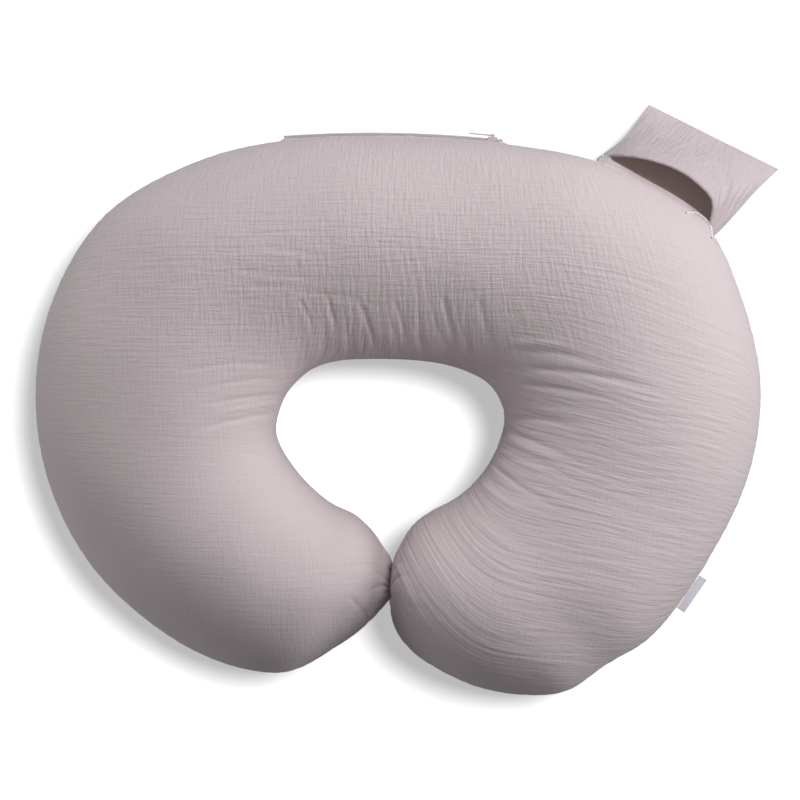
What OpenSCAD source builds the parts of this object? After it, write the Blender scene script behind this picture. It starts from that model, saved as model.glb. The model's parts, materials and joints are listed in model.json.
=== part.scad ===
// C-shaped nursing pillow: a fibre-filled liner inside a zipped muslin cover, with a small zipped
// pocket sewn into the outer seam and a woven label. Units are millimetres. +X runs along the
// pillow's length, +Y towards the middle of its back and +Z up; it lies on the plane z = 0.

/* [Pillow] */
// Height of the sewn seam above the surface the pillow lies on
seam_z = 78; // [70:1:90]
// Height of the crown above the seam
crown_h = 86; // [60:1:95]
// Depth of the unloaded belly below the seam; what would pass the surface lies flat on it
belly_h = 84; // [80:1:100]
// Half width at which the pillow reaches its full height
full_w = 92; // [80:1:100]
// Thickness of the double-gauze muslin cover
cover_t = 0.6; // [0.5:0.1:0.8]
// Thickness of the inner liner
liner_t = 0.3; // [0.2:0.1:0.4]
// Clearance between one layer and the next
layer_gap = 0.1; // [0.1:0.05:0.2]

/* [Arms] */
// Outward swing that the stuffed arms allow, in degrees
arm_swing = 20; // [5:1:24]
// Distance of each arm's bending axis from the outer edge
bend_inset = 50; // [40:1:60]

/* [Cover zip] */
// Radius of the back edge that the cover zip follows
back_r = 1008; // [1000:1:1010]
// Angle from the centre line to the zip's left end, in degrees
zip_left = 4; // [2:0.5:4]
// Angle from the centre line to the zip's right end, in degrees
zip_right = 6; // [2:0.5:6.5]

/* [Pocket] */
// Width of the pocket along the seam
pocket_w = 104; // [90:1:106]
// How far the open mouth stands out from the seam
mouth_depth = 21; // [14:1:24]
// How far the open mouth's edge is lifted off the panel behind it
mouth_lift = 24; // [16:1:30]
// Thickness of one pocket panel, measured upright
panel_t = 1.2; // [1:0.1:1.6]

/* [Zip parts] */
// Radius of a zip's nylon coil
coil_r = 1; // [0.8:0.1:1.2]
// Length of a slider
slider_l = 8; // [7:0.5:10]
// Length of a pull tab
pull_l = 20; // [16:1:26]

/* [Label] */
// Length of the label along the seam
label_l = 33; // [25:1:40]
// How far the label stands out of the seam
label_w = 7.5; // [6:0.5:12]

/* [Hidden] */

$fn = 32;
muslin = "#cdbfc1";
white = "#f3f1f4";

// Stations from the left tip round the back to the right tip: the seam's inner point, then its
// outer point. The two meet at each tip.
stations = [
    [-15, -157, -15, -157], [-19, -125, -26, -178], [-39, -99, -58, -205],
    [-66, -84, -108, -227], [-91, -60, -180, -207], [-108, -30, -251, -151],
    [-103, -2, -293, -81], [-90, 16, -308, -2], [-74, 27, -295, 79],
    [-54, 32, -250, 153], [-34, 33, -172, 198], [-14, 33, -89, 216],
    [7, 32, 2, 217], [29, 29, 94, 210], [49, 23, 168, 193],
    [66, 14, 243, 149], [77, 0, 276, 88], [81, -17, 293, 12],
    [75, -40, 283, -63], [63, -61, 249, -134], [49, -76, 206, -193],
    [36, -85, 165, -220], [22, -92, 127, -243], [7, -103, 69, -241],
    [-4, -119, 19, -219], [-11, -137, -7, -193], [-13, -164, -13, -164]
];
last_s = len(stations) - 1;
left_bend_s = 8;
right_bend_s = 16;

// Each tip closes smoothly because the seam runs on from the inner edge to the outer one.
function crossed(p) = [p[2], p[3], p[0], p[1]];
function station(i) =
    i < 0 ? crossed(stations[1]) : i > last_s ? crossed(stations[last_s - 1]) : stations[i];

// A Catmull-Rom curve through the stations, at the place s counted in stations
function spline(a, b, c, d, t) =
    (2 * b + (c - a) * t + (2 * a - 5 * b + 4 * c - d) * t * t + (3 * b - a - 3 * c + d) * t * t * t) / 2;
function section(s) = let (i = min(floor(s), last_s - 1))
    spline(station(i - 1), station(i), station(i + 1), station(i + 2), s - i);
function inner_point(p) = [p[0], p[1]];
function outer_point(p) = [p[2], p[3]];

// The height follows the half width, so that the arms' ends round off like a ball
function fullness(w) = 1 - pow(1 - min(w / full_w, 1), 1.6);

// A point of the section at s, at angle a (0 is the outer seam, 90 the crown, 180 the inner seam
// and 270 the underside), on a surface that lies inset within the pillow's outside
least_w = 0.4;
function skin(s, a, inset) =
    let (
        p = section(s), mid = (inner_point(p) + outer_point(p)) / 2, half = outer_point(p) - mid,
        w = max(norm(half) - inset, least_w), xy = mid + half / norm(half) * w * cos(a),
        h = fullness(w) * (sin(a) >= 0 ? crown_h : belly_h) * max(1 - inset / crown_h, 0.5),
        z = seam_z + h * sin(a)
    )
    [xy[0], xy[1], max(z, inset)];

// A closed solid swept through equal rings of points, with a flat cap at each end. From the ring's
// point `turned` on, the sides split along their other diagonal, so that a shell's inner wall, which
// runs back, splits as its outer wall does and the two stay apart.
module swept(rings, turned = 1000) {
    n = len(rings[0]);
    m = len(rings);
    function at(i, j) = i * n + j % n;
    sides = [for (i = [0 : m - 2]) for (j = [0 : n - 1]) each (j < turned ? [
        [at(i, j), at(i + 1, j), at(i + 1, j + 1)],
        [at(i, j), at(i + 1, j + 1), at(i, j + 1)]
    ] : [
        [at(i, j), at(i + 1, j), at(i, j + 1)],
        [at(i + 1, j), at(i + 1, j + 1), at(i, j + 1)]
    ])];
    start = [for (j = [0 : n - 1]) at(0, j)];
    end = [for (j = [n - 1 : -1 : 0]) at(m - 1, j)];
    polyhedron([for (r = rings) each r], concat(sides, [start, end]));
}

// Every layer has its rings of points at the same places and angles, so that the layers nest. They
// stand closer together where each tip rounds off.
tip_places = [0.1, 0.2, 0.3, 0.65];
places = concat(
    tip_places,
    [for (k = [2 : 2 * last_s - 2]) k / 2],
    [for (k = [3 : -1 : 0]) last_s - tip_places[k]]
);
last_ring = len(places) - 1;
function ring_count(s) = len(tip_places) + (s - 1) * 2;
arc_steps = 12;
arc_step = 180 / arc_steps;

// Half of a shell, above the seam (side = 1) or below it (side = -1), that starts and ends `skip`
// rings from the tips
module half_shell(side, inset, t, skip) {
    arc = [for (k = [0 : arc_steps]) side * arc_step * (side > 0 ? k : arc_steps - k)];
    swept([for (i = [skip : last_ring - skip]) concat(
        [for (a = arc) skin(places[i], a, inset)],
        [for (k = [arc_steps : -1 : 0]) skin(places[i], arc[k], inset + t)]
    )], arc_steps + 1);
}

// A length of the stuffing, from x0 to x1 counted in rings; an end between two rings lies straight
// between them
fill_inset = cover_t + liner_t + 2 * layer_gap;
function fill_ring(i) = [for (k = [0 : 2 * arc_steps - 1]) skin(places[i], k * arc_step, fill_inset)];
function fill_ring_at(x) = let (i = floor(x), ring = fill_ring(i))
    x == i ? ring : ring + (fill_ring(i + 1) - ring) * (x - i);
module stuffing(x0, x1) {
    between = [for (i = [floor(x0) + 1 : ceil(x1) - 1]) fill_ring(i)];
    swept(concat([fill_ring_at(x0)], between, [fill_ring_at(x1)]));
}

module cover_top_panel() { color(muslin) half_shell(1, 0, cover_t, 0); }
module cover_bottom_panel() { color(muslin) half_shell(-1, 0, cover_t, 0); }

liner_inset = cover_t + layer_gap;
module liner_top_panel() { color("white") half_shell(1, liner_inset, liner_t, 1); }
module liner_bottom_panel() { color("white") half_shell(-1, liner_inset, liner_t, 1); }

// The bending axis of an arm, on the section at s, and the direction of that section
function bend_point(s) = let (p = section(s), run = inner_point(p) - outer_point(p))
    outer_point(p) + run / norm(run) * bend_inset;
function bend_angle(s) = let (p = section(s), run = outer_point(p) - inner_point(p)) atan2(run[1], run[0]);

// Room for an arm to swing outwards: a wedge that opens from the bending axis to the outer edge
swing_room = 2;
wedge_reach = 90;
module swing_wedge(s, turn) {
    a0 = bend_angle(s);
    a1 = a0 + turn * (arm_swing + swing_room);
    tip = bend_point(s);
    linear_extrude(crown_h + seam_z + 1)
        polygon([for (p = [[0, 0], [cos(a0), sin(a0)] * wedge_reach, [cos(a1), sin(a1)] * wedge_reach])
            tip + p]);
}

// Gap between one length of the stuffing and the next, on each side of a bend, counted in rings
bend_gap = 0.04;
module fill_back() {
    color("white") difference() {
        stuffing(ring_count(left_bend_s) + bend_gap, ring_count(right_bend_s) - bend_gap);
        swing_wedge(left_bend_s, -1);
        swing_wedge(right_bend_s, 1);
    }
}
module fill_left_arm() { color("white") stuffing(2, ring_count(left_bend_s) - bend_gap); }
module fill_right_arm() {
    color("white") stuffing(ring_count(right_bend_s) + bend_gap, last_ring - 2);
}

// The cover zip runs along the back edge, an arc about back_centre
back_centre = [-29, 217 - back_r];
tape_t = 0.5;
tape_h = 9;
tape_off = 1.6;
coil_off = tape_off + tape_t + coil_r + 0.1;
coil_z = coil_r + 0.05;
module back_arc(from, to) {
    translate([back_centre[0], back_centre[1], seam_z]) rotate([0, 0, 90 - to])
        rotate_extrude(angle = to - from, $fn = 360) children();
}
module cover_zip_tape(side) {
    back_arc(-zip_left, zip_right) translate([back_r + tape_off, side > 0 ? 0.1 : -tape_h])
        square([tape_t, tape_h - 0.1]);
}
module cover_zip_coil(side) {
    back_arc(-zip_left, zip_right) translate([back_r + coil_off, side * coil_z]) circle(coil_r);
}
module cover_zip_tape_upper() { color(muslin) cover_zip_tape(1); }
module cover_zip_tape_lower() { color(muslin) cover_zip_tape(-1); }
module cover_zip_coil_upper() { color(white) cover_zip_coil(1); }
module cover_zip_coil_lower() { color(white) cover_zip_coil(-1); }

// Places a child on the cover zip, angle a right of the centre line, with the child's +X along the
// zip, +Y outwards and its origin on the line between the two coils
module on_cover_zip(a) {
    translate([back_centre[0], back_centre[1], seam_z]) rotate([0, 0, -a])
        translate([0, back_r + coil_off, 0]) children();
}
stop_l = 2.5;
module stop_block(h) { translate([-stop_l / 2, -coil_r, -h / 2]) cube([stop_l, 2 * coil_r, h]); }
stop_turn = stop_l / 2 / back_r * 180 / PI + 0.01;
module cover_zip_stops() {
    color(white) for (a = [-zip_left - stop_turn, zip_right + stop_turn])
        on_cover_zip(a) stop_block(4 * coil_r);
}

// A zip slider that straddles chain_h of coil, with two lugs that carry the pull's pin
plate_t = 0.8;
slide_gap = 0.35;
lug_l = 3;
pin_r = 0.6;
pin_y = coil_r + slide_gap + plate_t + 1.3;
lug_reach = 1.1;
module slider(chain_h) {
    half_h = chain_h / 2 + slide_gap;
    y0 = coil_r + slide_gap;
    translate([-slider_l / 2, y0, -half_h - plate_t]) cube([slider_l, plate_t, 2 * (half_h + plate_t)]);
    for (side = [-1, 1]) {
        translate([-slider_l / 2, -coil_r * 0.8, side * (half_h + plate_t / 2) - plate_t / 2])
            cube([slider_l, coil_r * 0.8 + y0, plate_t]);
        translate([-lug_l / 2, y0 + plate_t, side * (half_h + plate_t / 2) - plate_t / 2])
            cube([lug_l, pin_y - y0 - plate_t + lug_reach, plate_t]);
    }
    translate([0, pin_y, -half_h - plate_t / 2]) cylinder(r = pin_r, h = 2 * half_h + plate_t);
}
// The pull tab, lying along -X from its pin
pull_t = 1;
bore_gap = 0.08;
module pull(chain_h) {
    h = chain_h - 0.4;
    difference() {
        union() {
            translate([0, 0, -h / 2]) cylinder(r = pin_r + 0.5, h = h);
            translate([-pull_l, -pull_t / 2, -h / 2]) cube([pull_l, pull_t, h]);
        }
        translate([0, 0, -h]) cylinder(r = pin_r + bore_gap, h = 2 * h);
        translate([-pull_l + 3.5, 0, 0]) rotate([90, 0, 0]) cylinder(r = h / 4, h = 4, center = true);
    }
}
cover_chain_h = 2 * coil_z + 2 * coil_r;
parked = zip_right - slider_l / 2 / back_r * 180 / PI - 0.1;
module cover_zip_slider() { color("silver") on_cover_zip(parked) slider(cover_chain_h); }
module cover_zip_pull() {
    color("silver") on_cover_zip(parked) translate([0, pin_y, 0]) pull(cover_chain_h);
}

// The pocket's own axes: its hinge line, just outside the straight seam at the right of the back,
// is +X and outwards is +Y
pocket_origin = [160, 202];
pocket_turn = -29.3;
module on_pocket() {
    translate([pocket_origin[0], pocket_origin[1], 0]) rotate([0, 0, pocket_turn]) children();
}
near_y = 5.2;
far_left = [16, 62];
far_right = [137, 68];
mouth_peak = 65;
far_z = 0.3;
function mix(a, b, t) = a + (b - a) * t;
function far_edge(u) = mix(far_left, far_right, u);
function near_edge(u) = [pocket_w * u, near_y];
// The height of the back panel falls from the seam to the surface, v of the way to the far edge
function hang_z(v) = far_z + (seam_z - 1 - far_z) * pow(1 - v, 1.15);
function back_xy(u, v) = mix(near_edge(u), far_edge(u), v);
function mouth_shape(x) = x < mouth_peak ? sin(90 * x / mouth_peak)
    : sqrt(max(0, 1 - pow((x - mouth_peak) / (pocket_w - mouth_peak), 2)));
function mouth_y(x) = near_y + (mouth_depth - near_y) * mouth_shape(x);
// The front panel runs from the mouth's edge (v = 0) to the far edge (v = 1)
function mouth_v(u) = (mouth_y(pocket_w * u) - near_y) / (far_edge(u)[1] - near_y);
function gape(u, v) = mouth_lift * pow(sin(180 * u), 0.7) * pow(1 - v, 1.3);
front_gap = 0.3;
function front_point(u, v, up) = let (b = mix(mouth_v(u), 1, v), xy = back_xy(u, b))
    [xy[0], xy[1], hang_z(b) + panel_t + front_gap + gape(u, v) + up];
function back_point(u, v, up) = let (xy = back_xy(u, v)) [xy[0], xy[1], hang_z(v) + up];

// A sheet of even upright thickness over a grid of points: top and bottom rows make each ring
grid_u = 18;
grid_v = 10;
u_start = 0.02;
module pocket_back_panel() {
    color(muslin) on_pocket() swept([for (i = [0 : grid_u]) let (u = mix(u_start, 1 - u_start, i / grid_u))
        concat([for (j = [0 : grid_v]) back_point(u, j / grid_v, 0)],
               [for (j = [grid_v : -1 : 0]) back_point(u, j / grid_v, panel_t)])], grid_v + 1);
}
module pocket_front_panel() {
    color(muslin) on_pocket() swept([for (i = [0 : grid_u]) let (u = mix(u_start, 1 - u_start, i / grid_u))
        concat([for (j = [0 : grid_v]) front_point(u, j / grid_v, 0)],
               [for (j = [grid_v : -1 : 0]) front_point(u, j / grid_v, panel_t)])], grid_v + 1);
}

// A round strand: the ring of radius r about the point p, square to the direction d
strand_sides = 8;
strand_rings = 30;
function beside(d) = [-d[1], d[0], 0] / norm([d[0], d[1]]);
function strand_ring(p, d, r) = let (side = beside(d), top = cross(d, side))
    [for (k = [0 : strand_sides - 1]) let (a = -k * 360 / strand_sides) p + (side * cos(a) + top * sin(a)) * r];

// A strand that follows the mouth's edge under the front panel, from u0 to u1, moved off the edge
// by out and down
function mouth_ring(u, r, out, down) =
    let (p = front_point(u, 0, 0), q = front_point(u + 0.01, 0, 0), d = (q - p) / norm(q - p), side = beside(d))
    strand_ring(p - side * out - cross(d, side) * down, d, r);
module mouth_strand(r, out, down, u0, u1) {
    swept([for (i = [0 : strand_rings]) mouth_ring(mix(u0, u1, i / strand_rings), r, out, down)]);
}
mouth_u0 = 0.06;
mouth_u1 = 0.93;
module pocket_mouth_binding() { color(muslin) on_pocket() mouth_strand(0.9, 1.2, -1.4, mouth_u0, mouth_u1); }
module pocket_zip_coil_mouth() { color(white) on_pocket() mouth_strand(0.8, 1.1, 1, mouth_u0, mouth_u1); }
module pocket_zip_tape_mouth() { color(muslin) on_pocket() mouth_strand(0.45, 0.3, 2.4, mouth_u0, mouth_u1); }

// The seam side's half of the pocket zip: a straight run along the seam, then a curl round the
// pillow's corner
seam_coil_y = 1.2;
seam_run = [4, 98];
curl_r = 15;
curl_turn = 50;
pocket_coil_r = 0.8;
curl_rings = 10;
function curl_at(a) = [seam_run[1] + curl_r * sin(a), seam_coil_y - curl_r * (1 - cos(a)), seam_z];
module pocket_zip_coil_seam() {
    color(white) on_pocket() swept(concat(
        [strand_ring([seam_run[0], seam_coil_y, seam_z], [1, 0, 0], pocket_coil_r)],
        [for (k = [0 : curl_rings]) let (a = curl_turn * k / curl_rings)
            strand_ring(curl_at(a), [cos(a), -sin(a), 0], pocket_coil_r)]
    ));
}
seam_tape_h = 6;
module pocket_zip_tape_seam() {
    color(muslin) on_pocket()
        translate([seam_run[0], seam_coil_y - 0.25, seam_z - pocket_coil_r - 0.1 - seam_tape_h])
            cube([seam_run[1] - seam_run[0], 0.5, seam_tape_h]);
}
module pocket_zip_stops() {
    color(white) on_pocket() translate([seam_run[0] - stop_l / 2 - 0.05, seam_coil_y, seam_z])
        stop_block(3 * pocket_coil_r);
}
pocket_scale = 0.75;
pocket_parked = seam_run[0] + slider_l * pocket_scale / 2 + 0.5;
module on_pocket_zip() {
    on_pocket() translate([pocket_parked, seam_coil_y, seam_z]) rotate([90, 0, 0]) scale(pocket_scale)
        children();
}
pocket_chain_h = 2 * pocket_coil_r / pocket_scale;
module pocket_zip_slider() { color(white) on_pocket_zip() slider(pocket_chain_h); }
module pocket_zip_pull() {
    color(white) on_pocket_zip() translate([0, pin_y, 0]) rotate([0, 0, 180]) pull(pocket_chain_h);
}

// The label is a loop of satin tape that stands out of the outer seam of the right arm
label_s = 19.39;
label_off = 0.6;
label_t = 0.6;
function label_mid() = outer_point(section(label_s));
function label_run() = outer_point(section(label_s + 0.2)) - outer_point(section(label_s - 0.2));
module brand_label() {
    color(white) translate([label_mid()[0], label_mid()[1], seam_z])
        rotate([0, 0, atan2(label_run()[1], label_run()[0])])
            translate([-label_l / 2, label_off, -label_t / 2]) cube([label_l, label_w, label_t]);
}

cover_top_panel();
cover_bottom_panel();
liner_top_panel();
liner_bottom_panel();
fill_back();
fill_left_arm();
fill_right_arm();
cover_zip_tape_upper();
cover_zip_tape_lower();
cover_zip_coil_upper();
cover_zip_coil_lower();
cover_zip_stops();
cover_zip_slider();
cover_zip_pull();
pocket_back_panel();
pocket_front_panel();
pocket_mouth_binding();
pocket_zip_tape_seam();
pocket_zip_coil_seam();
pocket_zip_tape_mouth();
pocket_zip_coil_mouth();
pocket_zip_stops();
pocket_zip_slider();
pocket_zip_pull();
brand_label();
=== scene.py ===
"""The look of a C-shaped muslin nursing pillow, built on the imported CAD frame. Units are metres."""
import json
import math

import bmesh
import bpy
import numpy as np
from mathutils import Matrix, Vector


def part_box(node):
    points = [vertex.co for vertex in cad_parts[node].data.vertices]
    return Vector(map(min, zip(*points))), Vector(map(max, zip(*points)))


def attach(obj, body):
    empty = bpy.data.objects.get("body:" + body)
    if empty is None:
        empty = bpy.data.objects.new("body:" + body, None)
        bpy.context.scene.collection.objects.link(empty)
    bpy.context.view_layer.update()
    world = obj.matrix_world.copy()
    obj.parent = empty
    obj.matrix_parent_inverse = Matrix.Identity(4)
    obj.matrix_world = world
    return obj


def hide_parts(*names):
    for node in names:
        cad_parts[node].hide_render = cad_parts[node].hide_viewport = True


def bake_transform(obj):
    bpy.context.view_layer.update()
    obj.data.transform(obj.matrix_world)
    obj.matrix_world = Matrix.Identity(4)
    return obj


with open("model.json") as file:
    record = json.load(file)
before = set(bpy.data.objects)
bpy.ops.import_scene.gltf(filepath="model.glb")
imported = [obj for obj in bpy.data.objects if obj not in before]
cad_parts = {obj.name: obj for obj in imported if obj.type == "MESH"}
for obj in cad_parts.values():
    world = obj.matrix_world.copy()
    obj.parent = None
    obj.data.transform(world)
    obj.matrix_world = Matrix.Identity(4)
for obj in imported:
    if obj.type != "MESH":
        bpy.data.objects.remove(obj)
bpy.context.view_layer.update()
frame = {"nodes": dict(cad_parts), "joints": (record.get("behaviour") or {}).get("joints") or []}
MM = 0.001

# ---------------------------------------------------------------- the pillow's shape
# Sizes that the CAD frame holds
PANEL_LOW, PANEL_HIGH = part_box("cover_top_panel")
SEAM_Z = PANEL_LOW[2]
CROWN_H = PANEL_HIGH[2] - SEAM_Z
BELLY_H = CROWN_H - 2 * MM
FULL_W = 92 * MM

# Stations from the left tip round the back to the right tip, as in the CAD source: the seam's
# inner point, then its outer point
STATIONS = MM * np.array([
    [-15, -157, -15, -157], [-19, -125, -26, -178], [-39, -99, -58, -205],
    [-66, -84, -108, -227], [-91, -60, -180, -207], [-108, -30, -251, -151],
    [-103, -2, -293, -81], [-90, 16, -308, -2], [-74, 27, -295, 79],
    [-54, 32, -250, 153], [-34, 33, -172, 198], [-14, 33, -89, 216],
    [7, 32, 2, 217], [29, 29, 94, 210], [49, 23, 168, 193],
    [66, 14, 243, 149], [77, 0, 276, 88], [81, -17, 293, 12],
    [75, -40, 283, -63], [63, -61, 249, -134], [49, -76, 206, -193],
    [36, -85, 165, -220], [22, -92, 127, -243], [7, -103, 69, -241],
    [-4, -119, 19, -219], [-11, -137, -7, -193], [-13, -164, -13, -164],
])
LAST_S = len(STATIONS) - 1
MIDDLE_S = 12
CONTROL = np.vstack([STATIONS[1][[2, 3, 0, 1]], STATIONS, STATIONS[-2][[2, 3, 0, 1]]])


def section(s):
    """The seam's inner and outer points (x, y, x, y) at the places s, counted in stations."""
    i = np.clip(np.floor(s).astype(int), 0, LAST_S - 1)
    t = (s - i)[:, None]
    a, b, c, d = (CONTROL[i + k] for k in range(4))
    return (2 * b + (c - a) * t + (2 * a - 5 * b + 4 * c - d) * t**2 + (3 * b - a - 3 * c + d) * t**3) / 2


def smooth(x, low, high):
    """0 below low, 1 above high and a smooth step between them."""
    t = np.clip((x - low) / (high - low), 0, 1)
    return t * t * (3 - 2 * t)


def spine(s):
    """The arm's middle, the direction across it towards the outer seam, and its half width."""
    p = section(s)
    mid = (p[:, :2] + p[:, 2:]) / 2
    width = np.linalg.norm(p[:, 2:] - mid, axis=1)
    q = section(np.clip(s, 0.03, LAST_S - 0.03))
    across = q[:, 2:] - q[:, :2]
    return mid, across / np.linalg.norm(across, axis=1)[:, None], width


def skin(s, a, inset):
    """A grid of points, one row for each s, at angles a: 0 the outer seam, pi/2 the crown and pi the
    inner seam."""
    mid, across, width = spine(s)
    w = np.maximum(width - inset, 0)
    full = np.where(np.sin(a) >= 0, CROWN_H, BELLY_H)
    h = (1 - (1 - np.minimum(w / FULL_W, 1)) ** 1.6)[:, None] * full
    xy = mid[:, None] + across[:, None] * (w[:, None] * np.cos(a))[..., None]
    z = SEAM_Z + h * (1 - inset / CROWN_H) * np.sin(a)
    return np.dstack([xy, z])


def even_places(s0, s1, n):
    """n + 1 places from s0 to s1 at even distances along the arms' middle line."""
    s = np.linspace(s0, s1, 600)
    mid = spine(s)[0]
    run = np.r_[0, np.cumsum(np.linalg.norm(np.diff(mid, axis=0), axis=1))]
    return np.interp(np.linspace(0, run[-1], n + 1), run, s)


def run_along(points, axis):
    """Distance along each line of a grid of points."""
    step = np.linalg.norm(np.diff(points, axis=axis), axis=2)
    pad = [(1, 0) if k == axis else (0, 0) for k in range(2)]
    return np.cumsum(np.pad(step, pad), axis=axis)


def noise(x, y, seed):
    """Smooth gradient noise, about -1 to 1."""
    angle = np.random.default_rng(seed).uniform(0, 2 * np.pi, (256, 256))
    xi, yi = np.floor(x).astype(int), np.floor(y).astype(int)
    fx, fy = x - xi, y - yi

    def corner(i, j):
        g = angle[(xi + i) & 255, (yi + j) & 255]
        return np.cos(g) * (fx - i) + np.sin(g) * (fy - j)

    u, v = (f**3 * (f * (f * 6 - 15) + 10) for f in (fx, fy))
    low = corner(0, 0) * (1 - u) + corner(1, 0) * u
    high = corner(0, 1) * (1 - u) + corner(1, 1) * u
    return 1.5 * (low * (1 - v) + high * v)


def crease(x, y, seed):
    """Rounded puffs parted by narrow valleys, 0 in the valleys and about 1 on the puffs."""
    return np.sqrt(np.abs(noise(x, y, seed)) + 0.02)


def curve_through(points, t):
    """A smooth curve through the points, at t from 0 to 1 of its length."""
    points = np.asarray(points, float)
    ends = np.vstack([2 * points[0] - points[1], points, 2 * points[-1] - points[-2]])
    fine = np.linspace(0, len(points) - 1, 400)
    i = np.minimum(fine.astype(int), len(points) - 2)
    f = (fine - i)[:, None]
    p, q, r, w = (ends[i + k] for k in range(4))
    line = (2 * q + (r - p) * f + (2 * p - 5 * q + 4 * r - w) * f**2 + (3 * q - p - 3 * r + w) * f**3) / 2
    run = np.r_[0, np.cumsum(np.linalg.norm(np.diff(line, axis=0), axis=1))]
    return np.stack([np.interp(t * run[-1], run, line[:, k]) for k in range(points.shape[1])], axis=-1)


def fold(plan, path, depth, width):
    """A long valley (or a ridge, if depth is negative) along a path in plan that fades out at both ends."""
    line = curve_through(np.array(path) * MM, np.linspace(0, 1, 9))
    legs = np.diff(line, axis=0)
    gap = np.full(plan.shape[:2], np.inf)
    place = np.zeros(plan.shape[:2])
    for k, leg in enumerate(legs):
        along = np.clip((plan - line[k]) @ leg / (leg @ leg), 0, 1)
        away = np.linalg.norm(plan - line[k] - along[..., None] * leg, axis=2)
        place = np.where(away < gap, k + along, place)
        gap = np.minimum(away, gap)
    fade = smooth(place, 0, 1.2) * (1 - smooth(place, 3.5, len(legs)))
    return -depth * MM * fade * np.exp(-((gap / (width * MM)) ** 2))


# ---------------------------------------------------------------- the stuffed shape
# The simulated tube's grid, how far inside the skin it starts and how far a point of it may move
SIM_ROWS, SIM_SIDES = 150, 56
SIM_INSET = 3 * MM
SIM_CAP = 7 * MM
SIM_FRAMES = 20
# The cloth's UV map counts in units of 0.1 m, so a texture's scale is so many features in 0.1 m
PATTERN_UNIT = 0.1


def new_mesh(name, vertices, faces):
    """A new object in the scene from vertices and faces."""
    mesh = bpy.data.meshes.new(name)
    mesh.from_pydata(vertices, [], faces)
    mesh.validate()
    piece = bpy.data.objects.new(name, mesh)
    bpy.context.scene.collection.objects.link(piece)
    return piece


def grid_faces(rows, columns, closed=False):
    """Quads over a grid of rows by columns of vertices; closed joins the last column to the first."""
    i, j = np.meshgrid(np.arange(rows - 1), np.arange(columns if closed else columns - 1), indexing="ij")
    k = (j + 1) % columns
    this, after = i * columns, (i + 1) * columns
    return np.stack([this + j, this + k, after + k, after + j], axis=-1).reshape(-1, 4)


def stuffed_offsets():
    """How a cloth tube swells between its seams under the stuffing's pressure: offsets on a coarse grid."""
    s = even_places(0.05, LAST_S - 0.05, SIM_ROWS - 1)
    a = np.arange(SIM_SIDES) * 2 * np.pi / SIM_SIDES
    start = skin(s, a, SIM_INSET)
    flat = start.reshape(-1, 3)
    first_cap = list(range(SIM_SIDES))[::-1]
    last_cap = list(range((SIM_ROWS - 1) * SIM_SIDES, SIM_ROWS * SIM_SIDES))
    tube_faces = grid_faces(SIM_ROWS, SIM_SIDES, True).tolist()
    shell = new_mesh("sim_shell", flat.tolist(), tube_faces + [first_cap, last_cap])
    pin = shell.vertex_groups.new(name="pin")
    held = [i * SIM_SIDES + j for i in range(SIM_ROWS) for j in (0, SIM_SIDES // 2)]
    under = np.flatnonzero(flat[:, 2] < 1 * MM).tolist()
    pin.add(held + under, 1.0, "REPLACE")
    cloth = shell.modifiers.new("cloth", "CLOTH")
    settings = cloth.settings
    settings.quality = 6
    settings.vertex_group_mass = "pin"
    settings.use_pressure = True
    settings.uniform_pressure_force = 4
    settings.tension_stiffness = 12
    settings.compression_stiffness = 12
    settings.shear_stiffness = 4
    settings.bending_stiffness = 0.3
    settings.shrink_min = -0.05
    settings.effector_weights.gravity = 0
    cloth.collision_settings.use_collision = False
    for number in range(1, SIM_FRAMES + 1):
        bpy.context.scene.frame_set(number)
    solved = shell.evaluated_get(bpy.context.evaluated_depsgraph_get())
    moved = np.empty(len(flat) * 3, np.float32)
    solved.data.vertices.foreach_get("co", moved)
    offset = moved.reshape(start.shape).astype(float) - start
    size = np.linalg.norm(offset, axis=2, keepdims=True)
    offset *= SIM_CAP * np.tanh(size / SIM_CAP) / np.maximum(size, 1e-9)
    bpy.data.objects.remove(shell)
    bpy.context.scene.frame_set(1)
    return s, offset


def cubic_weights(at, count, closed):
    """A matrix that reads a line of count values at the fractional places at, by a Catmull-Rom curve."""
    i = np.floor(at).astype(int)
    t = at - i
    weights = [
        (-t + 2 * t**2 - t**3) / 2,
        (2 - 5 * t**2 + 3 * t**3) / 2,
        (t + 4 * t**2 - 3 * t**3) / 2,
        (t**3 - t**2) / 2,
    ]
    matrix = np.zeros((len(at), count))
    for k, weight in enumerate(weights):
        column = (i + k - 1) % count if closed else np.clip(i + k - 1, 0, count - 1)
        np.add.at(matrix, (np.arange(len(at)), column), weight)
    return matrix


SIM_S, SIM_OFFSETS = stuffed_offsets()


def stuffed(s, a, inset):
    """The swollen skin at places s and angles a, lying flat on the floor."""
    rows = cubic_weights(np.interp(s, SIM_S, np.arange(SIM_ROWS)), SIM_ROWS, False)
    sides = cubic_weights((a / (2 * np.pi) * SIM_SIDES) % SIM_SIDES, SIM_SIDES, True)
    offset = np.einsum("ri,ijk,cj->rck", rows, SIM_OFFSETS, sides)
    fade = smooth(s, 0, 0.6) * smooth(LAST_S - s, 0, 0.6)
    return skin(s, a, inset) + offset * fade[:, None, None]


def normals(points):
    """Outward unit normals of a grid whose rows run along the arms."""
    n = np.cross(np.gradient(points, axis=1), np.gradient(points, axis=0))
    return n / np.maximum(np.linalg.norm(n, axis=2, keepdims=True), 1e-12)


# The cloth's own grain: square to the frame on the back and the left arm. On the right arm it is
# turned, and it bends round the inner corner of the arm's end.
GRAIN_CORNER = np.array([36, -90]) * MM
GRAIN_TURN = math.radians(-12)
BEND_START, BEND_SPREAD = 60 * MM, 60 * MM


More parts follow.
